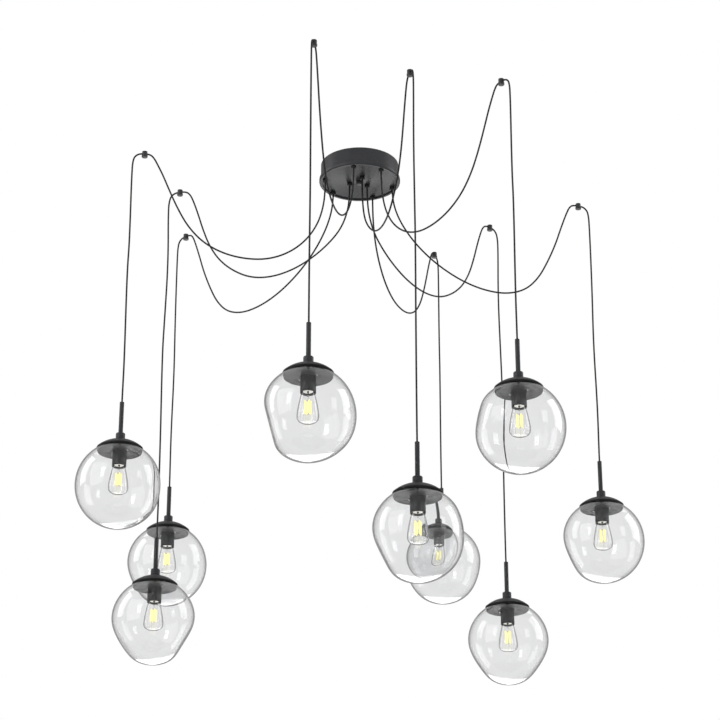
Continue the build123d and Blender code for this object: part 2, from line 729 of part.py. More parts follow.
# ---------------------------------------------------------------- assembly
def pendant_place(number, kind, bearing):
    """Place of a pendant's axis at the level of its collar's top."""
    hang = -drop_of(number, kind) - STEM_LENGTH
    place = Rot(0, 0, bearing) * Pos(HOOK_RADIUS[kind] + DROP_OFFSET, 0, hang)
    return place * Rot(0, 0, -bearing)


def main():
    os.makedirs("parts", exist_ok=True)
    write("canopy_pan", [canopy_pan()])
    write("crossbar", [crossbar()])
    write("canopy_fixings", canopy_fixings())
    grips = []
    bases = []
    caps = []
    for _, kind, bearing in arms():
        turn = Rot(0, 0, bearing)
        grips += [turn * Pos(GRIP_RADIUS[kind], 0, 0) * piece for piece in cord_grip()]
        bases.append(turn * Pos(HOOK_RADIUS[kind], 0, 0) * hook_base())
        caps.append(turn * Pos(HOOK_RADIUS[kind], 0, 0) * hook_cap())
    write("cord_grips", grips)
    write("hook_bases", bases)
    write("hook_caps", caps)

    fitter = [stem(), stem_bushing(), collar(), dome_cap(), gasket(), pendant_nipple()]
    holder_nut = hex_nut(
        LOCK_NUT_FLATS, NIPPLE_HOLE, HOLDER_NUT_TOP - LOCK_NUT_HEIGHT, LOCK_NUT_HEIGHT
    )
    screws = around(clamp_screw(), SCREW_COUNT, SCREW_CIRCLE_DIAMETER, SCREW_BEARING)
    lampholder = [clamp_disc(), *screws, socket_cup(), holder_nut, lamp_socket()]
    bulb = [bulb_envelope(), bulb_base(), bulb_mount(), *filaments()]
    for number, kind, bearing in arms():
        turn = Rot(0, 0, bearing)
        place = pendant_place(number, kind, bearing)
        write(f"swag_cord_{number}", [turn * cord_tube(f"swag_cord_{number}", swag_route(kind))])
        write(
            f"drop_cord_{number}",
            [turn * cord_tube(f"drop_cord_{number}", drop_route(number, kind))],
        )
        write(f"fitter_{number}", [place * piece for piece in fitter])
        write(f"glass_globe_{number}", [place * glass_globe(GLOBE_DENTS[number])])
        write(f"lampholder_{number}", [place * piece for piece in lampholder])
        write(f"bulb_{number}", [place * piece for piece in bulb])


main()
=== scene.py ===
import math

import bmesh
import bpy
from bpy.props import FloatProperty, FloatVectorProperty, PointerProperty
from bpy.types import Operator, Panel, PropertyGroup
from mathutils import Matrix, Vector


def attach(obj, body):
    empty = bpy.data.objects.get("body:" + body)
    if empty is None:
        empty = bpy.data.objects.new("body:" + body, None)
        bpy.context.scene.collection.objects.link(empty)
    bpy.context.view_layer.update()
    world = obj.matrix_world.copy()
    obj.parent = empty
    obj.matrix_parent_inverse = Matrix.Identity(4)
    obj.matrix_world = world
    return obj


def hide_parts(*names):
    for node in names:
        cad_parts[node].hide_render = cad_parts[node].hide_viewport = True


bl_info = {
    "name": "Cluster pendant",
    "version": (1, 0, 0),
    "blender": (4, 5, 0),
    "location": "View3D > Sidebar > Pendant",
    "description": "Dresses a cluster pendant: swagged cords, turned metalwork and dented blown-glass globes",
    "category": "Object",
}

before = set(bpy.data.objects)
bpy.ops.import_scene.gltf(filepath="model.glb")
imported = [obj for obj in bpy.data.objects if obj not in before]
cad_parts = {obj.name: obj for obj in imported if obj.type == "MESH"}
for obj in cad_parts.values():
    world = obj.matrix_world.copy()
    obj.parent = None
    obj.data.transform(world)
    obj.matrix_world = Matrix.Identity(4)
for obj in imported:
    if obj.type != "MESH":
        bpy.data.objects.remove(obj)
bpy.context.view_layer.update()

# Arms round the canopy: three groups, each with a wide, a near and a middle arm.
GROUP_BEARINGS = (44.0, 164.0, 284.0)
ARM_SPREAD = 23.8
ARM_KINDS = (("wide", -ARM_SPREAD), ("near", 0.0), ("middle", ARM_SPREAD))
HOOK_RADIUS = {"wide": 0.748, "near": 0.593, "middle": 0.665}
DROP = {"wide": 0.878, "near": 1.150, "middle": 0.830}
DROP_TRIM = {2: -0.003, 5: 0.006}
GRIP_RADIUS = {"wide": 0.107, "near": 0.032, "middle": 0.107}
DROP_OFFSET = 0.034
CORD_TOP = -0.038
CORD_AT_HOOK = -0.007
CORD_IN_STEM = 0.015

# Routes of the cords as (distance from the canopy's axis, height).
SWAG_ROUTE = {
    "wide": (
        (0.107, -0.092), (0.124, -0.153), (0.161, -0.212), (0.212, -0.265), (0.274, -0.309),
        (0.343, -0.342), (0.416, -0.360), (0.488, -0.360), (0.552, -0.336), (0.598, -0.288),
        (0.632, -0.226), (0.662, -0.159), (0.684, -0.096), (0.704, -0.044), (0.716, -0.018),
        (0.729, -0.007),
    ),
    "near": (
        (0.032, -0.092), (0.038, -0.152), (0.060, -0.210), (0.102, -0.258), (0.155, -0.299),
        (0.216, -0.330), (0.284, -0.345), (0.350, -0.338), (0.408, -0.307), (0.455, -0.264),
        (0.489, -0.209), (0.512, -0.149), (0.530, -0.092), (0.545, -0.050), (0.557, -0.022),
        (0.573, -0.007),
    ),
    "middle": (
        (0.107, -0.092), (0.113, -0.153), (0.131, -0.214), (0.166, -0.270), (0.218, -0.315),
        (0.283, -0.341), (0.353, -0.343), (0.420, -0.328), (0.480, -0.295), (0.526, -0.245),
        (0.559, -0.186), (0.586, -0.126), (0.607, -0.076), (0.624, -0.042), (0.635, -0.021),
        (0.648, -0.007),
    ),
}
DROP_BEND = ((0.0145, -0.007), (0.028, -0.0155), (0.034, -0.028))
# The slight wave of each hanging cord as (distance from its straight line, height).
DROP_WAVE = {
    "wide": ((0.003, -0.062), (0.002, -0.299), (-0.002, -0.489), (0.002, -0.694), (0.0, -0.850)),
    "near": ((0.004, -0.062), (-0.003, -0.250), (0.002, -0.450), (0.005, -0.560), (0.0, -0.853),
             (-0.001, -1.120)),
    "middle": ((0.003, -0.062), (0.000, -0.313), (0.003, -0.406), (-0.001, -0.696), (0.0, -0.802)),
}

# Soft dents of each globe as (bearing, elevation, depth, spread), angles in degrees.
GLOBE_DENTS = {
    1: ((172.0, -27.0, 0.016, 30.0), (60.0, -10.0, 0.006, 28.0)),
    2: ((168.0, -40.0, 0.017, 32.0), (12.0, -40.0, 0.015, 30.0)),
    3: ((350.0, -22.0, 0.009, 28.0), (190.0, -35.0, 0.012, 30.0)),
    4: ((166.0, -32.0, 0.011, 30.0), (300.0, 5.0, 0.006, 26.0)),
    5: ((165.0, -36.0, 0.019, 28.0), (14.0, -34.0, 0.022, 30.0)),
    6: ((352.0, -6.0, 0.007, 20.0), (300.0, -28.0, 0.007, 24.0)),
    7: ((177.0, -17.0, 0.025, 29.0), (20.0, -30.0, -0.004, 34.0)),
    8: ((172.0, -30.0, 0.020, 30.0), (5.0, 8.0, 0.006, 30.0)),
    9: ((185.0, 12.0, 0.008, 26.0), (236.0, -30.0, 0.009, 19.0)),
}
# A globe's dents fade out between these two elevations, towards its mouth.
DENT_FADE = (46.0, 24.0)
GLOBE_FOOT_ANGLE = -82.0
FILAMENT_BEARING = 24.0
FILAMENT_CIRCLE_RADIUS = 0.0080

# Small parts that a user wouldn't change, in metres and degrees.
GAP = 0.0001
NIPPLE_RADIUS = 0.0049
NIPPLE_BORE_RADIUS = 0.0032
NUT_FLATS = 0.016
NUT_HEIGHT = 0.004
SCREW_CIRCLE_RADIUS = 0.028
SCREW_BEARINGS = (143.0, 323.0)
DISC_THICKNESS = 0.0016
DISC_SLOT_WIDTH = 0.0045
DISC_SLOT_DEPTH = 0.022
GROUND_SCREW_X = -0.026
FLOOR_HEIGHT = -3.45


# ---------------------------------------------------------------- settings
def length(name, description, default):
    """A length in metres that a user may change."""
    return FloatProperty(
        name=name, description=description, default=default, min=0.0001, unit="LENGTH", subtype="DISTANCE"
    )


def colour(name, description, default):
    """A colour that a user may change."""
    return FloatVectorProperty(
        name=name, description=description, default=default, size=3, min=0.0, max=1.0, subtype="COLOR"
    )


def amount(name, description, default, **limits):
    """A power or brightness that a user may change."""
    return FloatProperty(name=name, description=description, default=default, min=0.0, **limits)


class CanopySizes(PropertyGroup):
    diameter: length("Diameter", "Outer diameter of the canopy's drum", 0.240)
    depth: length("Depth", "Height of the canopy", 0.060)
    wall: length("Wall", "Thickness of the canopy's sheet", 0.0016)
    bead_diameter: length("Bead diameter", "Outer diameter of the rolled bead", 0.250)
    bead_height: length("Bead height", "Height of the rolled bead", 0.016)
    plate_recess: length("Plate recess", "How far the plate sits up inside the bead", 0.005)
    cap_nut_diameter: length("Cap nut diameter", "Diameter of the nut under the plate", 0.0206)
    cap_nut_height: length("Cap nut height", "Height of the nut under the plate", 0.011)
    grip_diameter: length("Grip diameter", "Diameter of a cord grip", 0.0156)
    grip_height: length("Grip height", "Height of a cord grip below the plate", 0.010)


class HookSizes(PropertyGroup):
    barrel_diameter: length("Barrel diameter", "Diameter of a hook's upper barrel", 0.0165)
    barrel_height: length("Barrel height", "Height of a hook's upper barrel", 0.0115)
    cap_diameter: length("Cap diameter", "Diameter of a hook's lower cap", 0.0185)
    cap_height: length("Cap height", "Height of a hook's lower cap", 0.007)


class PendantSizes(PropertyGroup):
    cord_diameter: length("Cord diameter", "Diameter of every cord", 0.0052)
    stem_length: length("Stem length", "Length of the stem above the collar", 0.097)
    stem_diameter: length("Stem diameter", "Outer diameter of the stem", 0.013)
    collar_diameter: length("Collar diameter", "Diameter of the collar", 0.027)
    collar_height: length("Collar height", "Height of the collar", 0.021)
    dome_diameter: length("Dome diameter", "Diameter of the dome cap", 0.134)
    dome_rise: length("Dome rise", "Height of the dome cap with its lip", 0.027)
    gasket_height: length("Gasket height", "Height of the rubber ring under the dome", 0.0045)
    disc_diameter: length("Disc diameter", "Diameter of the clamp disc in the glass", 0.1296)
    cup_diameter: length("Cup diameter", "Diameter of the socket cup", 0.0415)
    cup_height: length("Cup height", "Height of the socket cup", 0.0455)


class GlassSizes(PropertyGroup):
    globe_diameter: length("Globe diameter", "Diameter of a globe before it is dented", 0.248)
    globe_height: length("Globe height", "Height of the whole ellipsoid", 0.254)
    globe_wall: length("Globe wall", "Thickness of a globe's glass", 0.0025)
    mouth_diameter: length("Mouth diameter", "Diameter of a globe's opening", 0.116)
    bulb_diameter: length("Bulb diameter", "Widest diameter of the bulb", 0.058)
    filament_length: length("Filament length", "Length of one filament", 0.038)


class Finishes(PropertyGroup):
    metal: colour("Metal", "Graphite coating of all the metalwork", (0.036, 0.037, 0.040))
    cord: colour("Cord", "Jacket of the cords", (0.012, 0.012, 0.013))
    grip: colour("Grip", "Moulded cord grips", (0.014, 0.014, 0.015))
    rubber: colour("Rubber", "Rubber ring under each dome", (0.008, 0.008, 0.008))
    holder: colour("Holder", "Moulded lampholder inside the cup", (0.030, 0.029, 0.028))
    # White of the neck disc, which paints the bright reflection seen in the bulb's neck.
    shield: colour("Heat shield", "White disc in the bulb's neck", (0.88, 0.88, 0.86))
    globe: colour("Globe glass", "Tint of the globes, seen straight on", (0.915, 0.917, 0.920))
    # Painted dark outline of the globes, standing in for the dark surroundings they reflect at grazing angles.
    globe_edge_painted_shade: colour("Globe edge", "Tint of the globes at their outlines", (0.10, 0.10, 0.105))
    bulb: colour("Bulb glass", "Tint of the bulbs", (0.985, 0.985, 0.98))
    filament: colour("Filament", "Filament rods", (0.93, 0.83, 0.30))
    screw: colour("Screw", "Bright plated screws and bulb shells", (0.90, 0.90, 0.88))


class StudioSettings(PropertyGroup):
    key: amount("Key light", "Power of the large light on the left", 60.0, unit="POWER")
    fill: amount("Fill light", "Power of the light on the right", 35.0, unit="POWER")
    tent: amount("Tent", "Brightness of the grey tent in reflections", 0.40, max=4.0)
    windows: amount("Windows", "Brightness of the windows in reflections", 1.7, max=10.0)
    room: amount("Room light", "Strength of the even light from all round", 0.75, max=4.0)


# ---------------------------------------------------------------- layout
def arms():
    """Number, kind and bearing in radians of each arm."""
    found = []
    for middle in GROUP_BEARINGS:
        for kind, offset in ARM_KINDS:
            found.append((len(found) + 1, kind, math.radians(middle + offset)))
    return found


def at_bearing(distance, height, bearing):
    """Point at a distance from the canopy's axis along an arm."""
    return Vector((distance * math.cos(bearing), distance * math.sin(bearing), height))


def heading(bearing, elevation):
    """Unit vector of a direction given in degrees."""
    level = math.radians(elevation)
    return at_bearing(math.cos(level), math.sin(level), math.radians(bearing))


def drop_of(number, kind):
    """Distance from the ceiling to the top of an arm's stem."""
    return DROP[kind] + DROP_TRIM.get(number, 0.0)


def collar_top(number, kind, bearing, stem_length):
    """Move from the origin to the middle of a pendant's collar top."""
    height = -drop_of(number, kind) - stem_length
    return Matrix.Translation(at_bearing(HOOK_RADIUS[kind] + DROP_OFFSET, height, bearing))


def ellipsoid_rise(diameter, height, radius):
    """Height over the middle of an upright ellipsoid at a distance from its axis."""
    return height / 2 * math.sqrt(1 - (2 * radius / diameter) ** 2)


def globe_middle(sizes, glass):
    """Height of a globe's middle below its collar's top."""
    foot = -sizes.collar_height - sizes.dome_rise - sizes.gasket_height - 0.0003
    rise = ellipsoid_rise(glass.globe_diameter, glass.globe_height, sizes.dome_diameter / 2 - 0.0005)
    return foot - rise


def disc_underside(sizes, glass):
    """Height of the clamp disc's underside below its collar's top."""
    rise = ellipsoid_rise(
        glass.globe_diameter - 2 * glass.globe_wall,
        glass.globe_height - 2 * glass.globe_wall,
        sizes.disc_diameter / 2,
    )
    return globe_middle(sizes, glass) + rise - 0.0019


# ---------------------------------------------------------------- shaping
def lathe(outline, steps=72, closed=False):
    """Turns a half outline of (radius, height) points about the upright axis."""
    shape = bmesh.new()
    points = [shape.verts.new((radius, 0.0, height)) for radius, height in outline]
    pairs = list(zip(points, points[1:]))
    if closed:
        pairs.append((points[-1], points[0]))
    lines = [shape.edges.new(pair) for pair in pairs]
    bmesh.ops.spin(
        shape, geom=points + lines, cent=(0, 0, 0), axis=(0, 0, 1), angle=math.tau,
        steps=steps, use_merge=True, use_duplicate=False,
    )
    bmesh.ops.remove_doubles(shape, verts=shape.verts, dist=1e-6)
    bmesh.ops.dissolve_degenerate(shape, dist=1e-7, edges=shape.edges)
    bmesh.ops.recalc_face_normals(shape, faces=shape.faces)
    return shape


def soften(shape, width, segments=2, angle=35.0):
    """Rounds every edge that is sharper than an angle."""
    sharp = [
        edge for edge in shape.edges
        if len(edge.link_faces) == 2 and edge.calc_face_angle(0.0) > math.radians(angle)
    ]
    bmesh.ops.bevel(
        shape, geom=sharp, offset=width, offset_type="OFFSET", segments=segments,
        profile=0.5, affect="EDGES", clamp_overlap=True, material=-1,
    )
    return shape


def merged(*shapes):
    """Joins several shapes in the first."""
    first = shapes[0]
    for other in shapes[1:]:
        mesh = bpy.data.meshes.new("joining")
        other.to_mesh(mesh)
        first.from_mesh(mesh)
        bpy.data.meshes.remove(mesh)
        other.free()
    return first


def placed(shape, matrix):
    """Moves a shape as a whole."""
    bmesh.ops.transform(shape, matrix=matrix, verts=shape.verts)
    return shape


def repeated(shape, places):
    """One shape joined at several places."""
    copies = [placed(shape.copy(), place) for place in places]
    shape.free()
    return merged(*copies)


def in_scene(name, data):
    """A new object of some data, linked to the scene."""
    made = bpy.data.objects.new(name, data)
    bpy.context.scene.collection.objects.link(made)
    return made


def finished(name, shape, material, place=Matrix.Identity(4), sharp=38.0):
    """Makes the object of a shape, with its place in its mesh."""
    mesh = bpy.data.meshes.new(name)
    shape.to_mesh(mesh)
    mesh.transform(place)
    mesh.shade_smooth()
    mesh.set_sharp_from_angle(angle=math.radians(sharp))
    mesh.materials.append(material)
    return in_scene(name, mesh)


def fitted(piece, body, node):
    """Lets a piece stand for a node of the frame and ride on its body."""
    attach(piece, body)
    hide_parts(node)
    return piece


# ---------------------------------------------------------------- finishes
def new_finish(name):
    """An empty material with its shader."""
    material = bpy.data.materials.new(name)
    material.use_nodes = True
    return material, material.node_tree, material.node_tree.nodes["Principled BSDF"]


def add_node(tree, kind, values=None, **settings):
    """A shader node with its settings and input values."""
    node = tree.nodes.new("ShaderNode" + kind)
    for key, value in settings.items():
        setattr(node, key, value)
    for key, value in (values or {}).items():
        node.inputs[key].default_value = value
    return node


def object_noise(tree, scale, detail=3.0, roughness=0.55):
    """Noise over the object's own coordinates."""
    place = add_node(tree, "TexCoord")
    noise = add_node(
        tree, "TexNoise", {"Scale": scale, "Detail": detail, "Roughness": roughness}
    )
    tree.links.new(place.outputs["Object"], noise.inputs["Vector"])
    return noise.outputs["Fac"]


def spread(tree, source, low, high, start=0.3, end=0.7):
    """Maps a source to a range of numbers."""
    node = add_node(
        tree, "MapRange",
        {"From Min": start, "From Max": end, "To Min": low, "To Max": high},
    )
    tree.links.new(source, node.inputs["Value"])
    return node.outputs["Result"]


def shades(tree, source, stops):
    """Maps a source to colours, stops as (place, colour)."""
    ramp = add_node(tree, "ValToRGB")
    elements = ramp.color_ramp.elements
    while len(elements) < len(stops):
        elements.new(0.5)
    for element, (position, shade) in zip(elements, stops):
        element.position = position
        element.color = (*shade, 1.0)
    tree.links.new(source, ramp.inputs["Fac"])
    return ramp.outputs["Color"]


def scaled(shade, factor):
    """A colour made lighter or darker."""
    return tuple(min(1.0, part * factor) for part in shade)


def raise_bump(tree, source, shader, strength, distance):
    """Bump from a source into a shader's normal."""
    bump = add_node(tree, "Bump", {"Strength": strength, "Distance": distance})
    tree.links.new(source, bump.inputs["Height"])
    tree.links.new(bump.outputs["Normal"], shader.inputs["Normal"])


def patterned(name, shade, pattern, factors, places=(0.3, 0.7)):
    """A finish whose shade varies with a noise of a (scale, detail) between two factors."""
    material, tree, shader = new_finish(name)
    source = object_noise(tree, *pattern)
    stops = [(position, scaled(shade, factor)) for position, factor in zip(places, factors)]
    tree.links.new(shades(tree, source, stops), shader.inputs["Base Color"])
    return material, tree, shader, source


def roughened(tree, source, shader, low, high):
    """Lets a shader's roughness vary with a source."""
    tree.links.new(spread(tree, source, low, high), shader.inputs["Roughness"])


def graphite_coat(name, shade):
    """Satin graphite coating with a fine grain and faint cloudiness."""
    material, tree, shader, _ = patterned(name, shade, (22.0, 4.0), (0.88, 1.14))
    grain = object_noise(tree, 1400.0, 2.0)
    roughened(tree, grain, shader, 0.33, 0.45)
    shader.inputs["Specular IOR Level"].default_value = 0.4
    raise_bump(tree, grain, shader, 0.18, 0.0002)
    return material


def cord_jacket(name, shade):
    """Smooth black jacket with faint scuffs."""
    material, tree, shader, scuff = patterned(name, shade, (9.0, 4.0), (0.9, 1.3), (0.35, 0.75))
    roughened(tree, scuff, shader, 0.44, 0.52)
    return material


def moulding(name, shade, low, high, grain):
    """Moulded plastic, rubber or ceramic with fine flecks."""
    material, tree, shader, fleck = patterned(name, shade, (grain, 4.0), (0.85, 1.15))
    roughened(tree, fleck, shader, low, high)
    raise_bump(tree, fleck, shader, 0.2, 0.0003)
    return material


def set_glow(shader, shade, strength):
    """Lets a shader give off light."""
    shader.inputs["Emission Color"].default_value = shade
    shader.inputs["Emission Strength"].default_value = strength


def ceramic_with_painted_glow(name, shade):
    """White ceramic with a painted glow, as if lit by the filaments beside it."""
    material = moulding(name, shade, 0.5, 0.7, 600.0)
    shader = material.node_tree.nodes["Principled BSDF"]
    # Painted glow on the neck disc.
    set_glow(shader, (1.0, 0.99, 0.95, 1.0), 0.8)
    return material


def plated_metal(name, shade, low, high):
    """Bright plated metal with fine tool marks."""
    material, tree, shader, marks = patterned(name, shade, (700.0, 3.0), (0.85, 1.1))
    roughened(tree, marks, shader, low, high)
    shader.inputs["Metallic"].default_value = 1.0
    return material


def clear_glass(name, stops, ripple, ripple_scale):
    """Clear glass whose colour follows how far it faces away, painting shade and highlight bands towards its
    outlines, with the soft ripple of blown glass.
    """
    material, tree, shader = new_finish(name)
    facing = add_node(tree, "LayerWeight", {"Blend": 0.5})
    tree.links.new(shades(tree, facing.outputs["Facing"], stops), shader.inputs["Base Color"])
    shader.inputs["Transmission Weight"].default_value = 1.0
    shader.inputs["IOR"].default_value = 1.45
    shader.inputs["Roughness"].default_value = 0.0
    if ripple:
        raise_bump(tree, object_noise(tree, ripple_scale, 1.0), shader, ripple, 0.004)
    return material


def filament_coat(name, shade):
    """Pale yellow filament coating with its row of small chips, and a painted yellow glow."""
    material, tree, shader = new_finish(name)
    place = add_node(tree, "TexCoord")
    rows = add_node(
        tree, "TexWave", {"Scale": 160.0, "Distortion": 0.3, "Detail": 1.0},
        bands_direction="Z",
    )
    tree.links.new(place.outputs["Object"], rows.inputs["Vector"])
    stops = ((0.2, scaled(shade, 0.86)), (0.8, shade))
    tree.links.new(shades(tree, rows.outputs["Fac"], stops), shader.inputs["Base Color"])
    shader.inputs["Roughness"].default_value = 0.55
    # Painted glow: a faint yellow light from the filaments, which are no lamp here.
    set_glow(shader, (1.0, 0.93, 0.38, 1.0), 1.1)
    return material


def finish(name):
    """The material of that name, made when it is first asked for."""
    if name in bpy.data.materials:
        return bpy.data.materials[name]
    finishes = bpy.context.scene.pendant_finishes
    makers = {
        "graphite_coat": (graphite_coat, finishes.metal),
        "cord_jacket": (cord_jacket, finishes.cord),
        "grip_moulding": (moulding, finishes.grip, 0.4, 0.55, 500.0),
        "seal_rubber": (moulding, finishes.rubber, 0.6, 0.8, 300.0),
        "screw_plating": (plated_metal, finishes.screw, 0.12, 0.22),
        "bracket_plating": (plated_metal, (0.55, 0.54, 0.50), 0.3, 0.45),
        # Globe colour by facing: its tint straight on, then a painted white band, then a painted dark outline that
        # stands in for reflected dark surroundings.
        "blown_glass": (clear_glass, (
            (0.25, finishes.globe), (0.58, (1.0, 1.0, 1.0)), (0.78, (0.97, 0.97, 0.97)),
            (0.90, finishes.globe_edge_painted_shade)), 0.06, 9.0),
        # Bulb and mount glass go darker towards their outlines: painted shade that stands in for reflected dark
        # surroundings.
        "bulb_skin_glass": (clear_glass, (
            (0.45, finishes.bulb), (0.70, (0.80, 0.80, 0.80)), (0.88, (0.12, 0.12, 0.12))), 0.03, 14.0),
        "mount_glass": (clear_glass, ((0.2, (0.92, 0.92, 0.92)), (0.8, (0.25, 0.25, 0.25))), 0.03, 40.0),
        "holder_moulding": (moulding, finishes.holder, 0.35, 0.5, 400.0),
        # The white neck disc with its painted glow stands in for the bright reflection in the bulb's neck.
        "heat_shield": (ceramic_with_painted_glow, finishes.shield),
        "filament_coat": (filament_coat, finishes.filament),
    }
    maker, *values = makers[name]
    return maker(name, *values)


# ---------------------------------------------------------------- cords
def cord_line(name, points, diameter):
    """A round cord on a smooth curve through its route."""
    curve = bpy.data.curves.new(name, "CURVE")
    curve.dimensions = "3D"
    spline = curve.splines.new("NURBS")
    spline.points.add(len(points) - 1)
    for control, point in zip(spline.points, points):
        control.co = (*point, 1.0)
    spline.order_u = 3
    spline.use_endpoint_u = True
    spline.resolution_u = 8
    curve.bevel_depth = diameter / 2
    curve.bevel_resolution = 4
    curve.use_fill_caps = True
    curve.materials.append(finish("cord_jacket"))
    return in_scene(name, curve)


def swag_points(kind, bearing):
    """Route of a swag from inside the canopy to the middle of its hook."""
    start = (GRIP_RADIUS[kind], CORD_TOP)
    end = (HOOK_RADIUS[kind], CORD_AT_HOOK)
    return [at_bearing(*point, bearing) for point in (start, *SWAG_ROUTE[kind], end)]


def drop_points(number, kind, bearing):
    """Route of a hanging cord from the middle of its hook into its stem."""
    hook = HOOK_RADIUS[kind]
    line = hook + DROP_OFFSET
    route = [(hook, CORD_AT_HOOK)]
    route += [(hook + distance, height) for distance, height in DROP_BEND]
    route += [(line + sideways, height) for sideways, height in DROP_WAVE[kind]]
    route.append((line, -drop_of(number, kind) - CORD_IN_STEM))
    return [at_bearing(*point, bearing) for point in route]


# ---------------------------------------------------------------- pieces
def dome_outline(sizes):
    """Half outline of the dome cap's shell, from the collar outside to inside."""
    rim = sizes.dome_diameter / 2
    wall = 0.0015
    lip = 0.0015
    rise = sizes.dome_rise - lip
    sphere = (rim ** 2 + rise ** 2) / (2 * rise)
    top = -sizes.collar_height - GAP
    middle = top - math.sqrt(sphere ** 2 - 0.005 ** 2)
    foot = -sizes.collar_height - sizes.dome_rise
    steps = 14
    outer = []
    inner = []
    for index in range(steps + 1):
        radius = 0.005 + (rim - 0.005) * index / steps
        outer.append((radius, middle + math.sqrt(sphere ** 2 - radius ** 2)))
        inside = min(radius, rim - wall)
        inner.append((inside, middle + math.sqrt((sphere - wall) ** 2 - inside ** 2)))
    return outer + [(rim, foot), (rim - wall, foot)] + inner[::-1]


def arm_places(radius_of):
    """A place on every arm, at the radius of its kind."""
    return [Matrix.Translation(at_bearing(radius_of[kind], 0.0, bearing)) for _, kind, bearing in arms()]


def screw_places():
    """Places of the clamp screws round a pendant's axis."""
    return [Matrix.Translation(at_bearing(SCREW_CIRCLE_RADIUS, 0.0, math.radians(bearing)))
            for bearing in SCREW_BEARINGS]


def metalwork_shape(sizes):
    """Stem, bushing, collar and dome cap as they are fitted together."""
    stem = sizes.stem_diameter / 2
    bore = sizes.cord_diameter / 2 + 0.0004
    top = sizes.stem_length
    tube = lathe(
        [(bore, top - 0.010), (bore, top), (stem, top), (stem, top - 0.002), (stem - 0.0004, top - 0.002),
         (stem - 0.0004, top - 0.0023), (stem, top - 0.0023), (stem, -0.008), (bore, -0.008)],
        48, closed=True,
    )
    soften(tube, 0.0003)
    collar = sizes.collar_diameter / 2
    chamfer = 0.0015
    collar_ring = lathe(
        [(stem + 0.0001, -0.006), (stem + 0.0001, 0.0), (collar - chamfer, 0.0), (collar, -chamfer),
         (collar, -sizes.collar_height), (0.005, -sizes.collar_height), (0.005, -0.010)],
        64, closed=True,
    )
    soften(collar_ring, 0.0004, 3, 20.0)
    dome = lathe(dome_outline(sizes), 128, closed=True)
    soften(dome, 0.0004, 2, 50.0)
    foot = -sizes.collar_height - sizes.dome_rise - sizes.gasket_height + 0.0015
    head = foot + 0.0215
    boss = lathe([(0.002, foot), (0.004, foot), (0.004, head), (0.002, head)], 32, closed=True)
    return merged(tube, collar_ring, dome, repeated(boss, screw_places()))


def hex_nut_shape(bore, low):
    """Hexagonal nut round the upright axis."""
    half = NUT_FLATS / 2
    high = low + NUT_HEIGHT
    nut = lathe([(bore, low), (half, low), (half, high), (bore, high)], 48, closed=True)
    for vert in nut.verts:
        radius = math.hypot(vert.co.x, vert.co.y)
        if radius > (bore + half) / 2:
            side = (math.atan2(vert.co.y, vert.co.x) + math.pi / 6) % (math.pi / 3) - math.pi / 6
            vert.co.xy *= 1 / math.cos(side)
    return soften(nut, 0.0003, 2, 40.0)


def nipple_shape(low, high):
    """Hollow threaded tube round the upright axis, between two levels."""
    outline = [(NIPPLE_BORE_RADIUS, low), (NIPPLE_RADIUS, low), (NIPPLE_RADIUS, high), (NIPPLE_BORE_RADIUS, high)]
    return soften(lathe(outline, 40, closed=True), 0.0002)


def gasket_shape(sizes, glass):
    """Rubber ring between the dome's rim and the glass."""
    outer = sizes.dome_diameter / 2 - 0.0005
    inner = outer - 0.006
    top = -sizes.collar_height - sizes.dome_rise - GAP
    foot = -sizes.collar_height - sizes.dome_rise - sizes.gasket_height
    middle = globe_middle(sizes, glass)
    inner_foot = middle + ellipsoid_rise(glass.globe_diameter, glass.globe_height, inner) + 0.00045
    ring = lathe([(inner, inner_foot), (outer, foot), (outer, top), (inner, top)], 128, closed=True)
    return soften(ring, 0.0002, 2, 20.0)


def clamp_disc_shape(sizes, glass):
    """Clamp disc with its nipple hole, screw holes and the slot that lets it wind into the mouth."""
    foot = disc_underside(sizes, glass)
    rim = sizes.disc_diameter / 2
    disc = bmesh.new()
    floor = Matrix.Translation((0, 0, foot))
    bmesh.ops.create_circle(disc, cap_ends=False, segments=32, radius=0.005, matrix=floor)
    for place in screw_places():
        bmesh.ops.create_circle(disc, cap_ends=False, segments=20, radius=0.0021, matrix=floor @ place)
    half_slot = DISC_SLOT_WIDTH / 2
    start = math.asin(half_slot / rim)
    outline = [(side * half_slot, rim - DISC_SLOT_DEPTH) for side in (-1, 1)]
    for index in range(145):
        angle = math.pi / 2 - start - (math.tau - 2 * start) * index / 144
        outline.append((rim * math.cos(angle), rim * math.sin(angle)))
    corners = [disc.verts.new((x, y, foot)) for x, y in outline]
    for first, second in zip(corners, corners[1:] + corners[:1]):
        disc.edges.new((first, second))
    bmesh.ops.triangle_fill(disc, use_beauty=True, edges=disc.edges[:], normal=(0, 0, 1))
    grown = bmesh.ops.extrude_face_region(disc, geom=disc.faces[:])
    raised = [part for part in grown["geom"] if isinstance(part, bmesh.types.BMVert)]
    bmesh.ops.translate(disc, vec=(0, 0, DISC_THICKNESS), verts=raised)
    bmesh.ops.recalc_face_normals(disc, faces=disc.faces)
    return soften(disc, 0.0003)


def socket_cup_shape(sizes, glass):
    """Socket cup, open downwards."""
    top = disc_underside(sizes, glass) - GAP
    mouth = top - sizes.cup_height
    outer = sizes.cup_diameter / 2
    inner = outer - 0.0014
    cup = lathe(
        [(0.005, top), (outer, top), (outer, mouth), (inner, mouth), (inner, top - 0.0014),
         (0.005, top - 0.0014)],
        96, closed=True,
    )
    return soften(cup, 0.0004)


